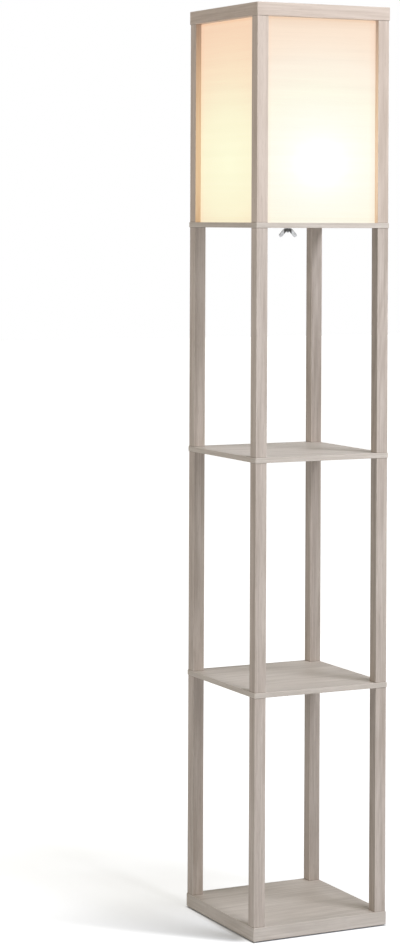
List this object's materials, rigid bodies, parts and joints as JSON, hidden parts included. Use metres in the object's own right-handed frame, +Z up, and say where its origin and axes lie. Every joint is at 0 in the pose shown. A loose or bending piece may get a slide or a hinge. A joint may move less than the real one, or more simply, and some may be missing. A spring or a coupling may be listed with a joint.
{
  "type": "shelf floor lamp",
  "caption": "Tall square floor lamp with open shelves between four posts and a lit fabric box on top.",
  "frame": {"origin": "centre of the footprint at floor level", "axes": "+Z up, -Y the front, +X to the right seen from the front; the cord entry is at the back, +Y"},
  "size_m": [0.26, 0.26, 1.6],
  "materials": {
    "wood_foil": "satin wood-grain foil, greige",
    "pad_rubber": "matte",
    "zinc_steel": "zinc plated",
    "foil_plastic": "matte, matched to the foil",
    "hardwood": "bare",
    "shade_fabric": "fine plain weave, lit from inside",
    "shade_liner": "translucent",
    "holder_black": "moulded, satin",
    "core_ceramic": "unglazed",
    "contact_brass": "plain",
    "bright_zinc": "bright",
    "cap_nickel": "nickel plated",
    "insulator_black": "glassy",
    "collar_white": "satin",
    "globe_opal": "opal",
    "led_aluminium": "white solder mask",
    "chip_yellow": "phosphor",
    "circuit_green": "circuit board"
  },
  "bodies": {
    "stand": {"base_board": "wood_foil", "base_bolts": "zinc_steel", "base_washers": "zinc_steel", "centre_contact": "contact_brass", "cord_clamp_screw": "zinc_steel", "corner_keys": "hardwood", "foot_pads": "pad_rubber", "high_post_back_left": "wood_foil", "high_post_back_right": "wood_foil", "high_post_front_left": "wood_foil", "high_post_front_right": "wood_foil", "holder_base": "holder_black", "holder_body": "holder_black", "holder_bolt": "zinc_steel", "holder_core": "core_ceramic", "lamp_board": "wood_foil", "lamp_post_back_left": "wood_foil", "lamp_post_back_right": "wood_foil", "lamp_post_front_left": "wood_foil", "lamp_post_front_right": "wood_foil", "liner_back": "shade_liner", "liner_front": "shade_liner", "liner_left": "shade_liner", "liner_right": "shade_liner", "low_post_back_left": "wood_foil", "low_post_back_right": "wood_foil", "low_post_front_left": "wood_foil", "low_post_front_right": "wood_foil", "low_shelf": "wood_foil", "mid_post_back_left": "wood_foil", "mid_post_back_right": "wood_foil", "mid_post_front_left": "wood_foil", "mid_post_front_right": "wood_foil", "mid_shelf": "wood_foil", "post_inserts": "zinc_steel", "screw_shell": "contact_brass", "shade_back": "shade_fabric", "shade_front": "shade_fabric", "shade_left": "shade_fabric", "shade_right": "shade_fabric", "shelf_studs": "zinc_steel", "terminal_screws": "zinc_steel", "top_frame_screws": "zinc_steel", "top_rail_back": "wood_foil", "top_rail_front": "wood_foil", "top_rail_left": "wood_foil", "top_rail_right": "wood_foil", "top_screw_caps": "foil_plastic"},
    "washer": {"clamp_washer": "zinc_steel"},
    "wing_nut": {"wing_nut": "bright_zinc"},
    "bulb_tip": {"bulb_contact": "contact_brass"},
    "bulb": {"bulb_cap": "cap_nickel", "bulb_insulator": "insulator_black", "bulb_collar": "collar_white", "bulb_globe": "globe_opal", "bulb_led_board": "led_aluminium", "bulb_led_chips": "chip_yellow", "bulb_driver_board": "circuit_green"}
  },
  "joints": [
    {"name": "washer_drop", "type": "slide", "parent": "stand", "child": "washer", "axis": [0, 0, -1], "range_m": [0, 0.00601]},
    {"name": "wing_nut_turn", "type": "hinge", "parent": "washer", "child": "wing_nut", "pos_m": [0, 0, 1.212], "axis": [0, 0, -1], "range_deg": [0, 2160]},
    {"name": "bulb_rise", "type": "slide", "parent": "stand", "child": "bulb_tip", "axis": [0, 0, 1], "range_m": [0, 0.0109]},
    {"name": "bulb_turn", "type": "hinge", "parent": "bulb_tip", "child": "bulb", "pos_m": [0, 0, 1.28], "axis": [0, 0, 1], "range_deg": [0, 1080]}
  ],
  "couplings": [
    {"joint": "washer_drop", "follows": "wing_nut_turn", "m_per_rad": 0.00015915},
    {"joint": "bulb_rise", "follows": "bulb_turn", "m_per_rad": 0.00057757}
  ]
}
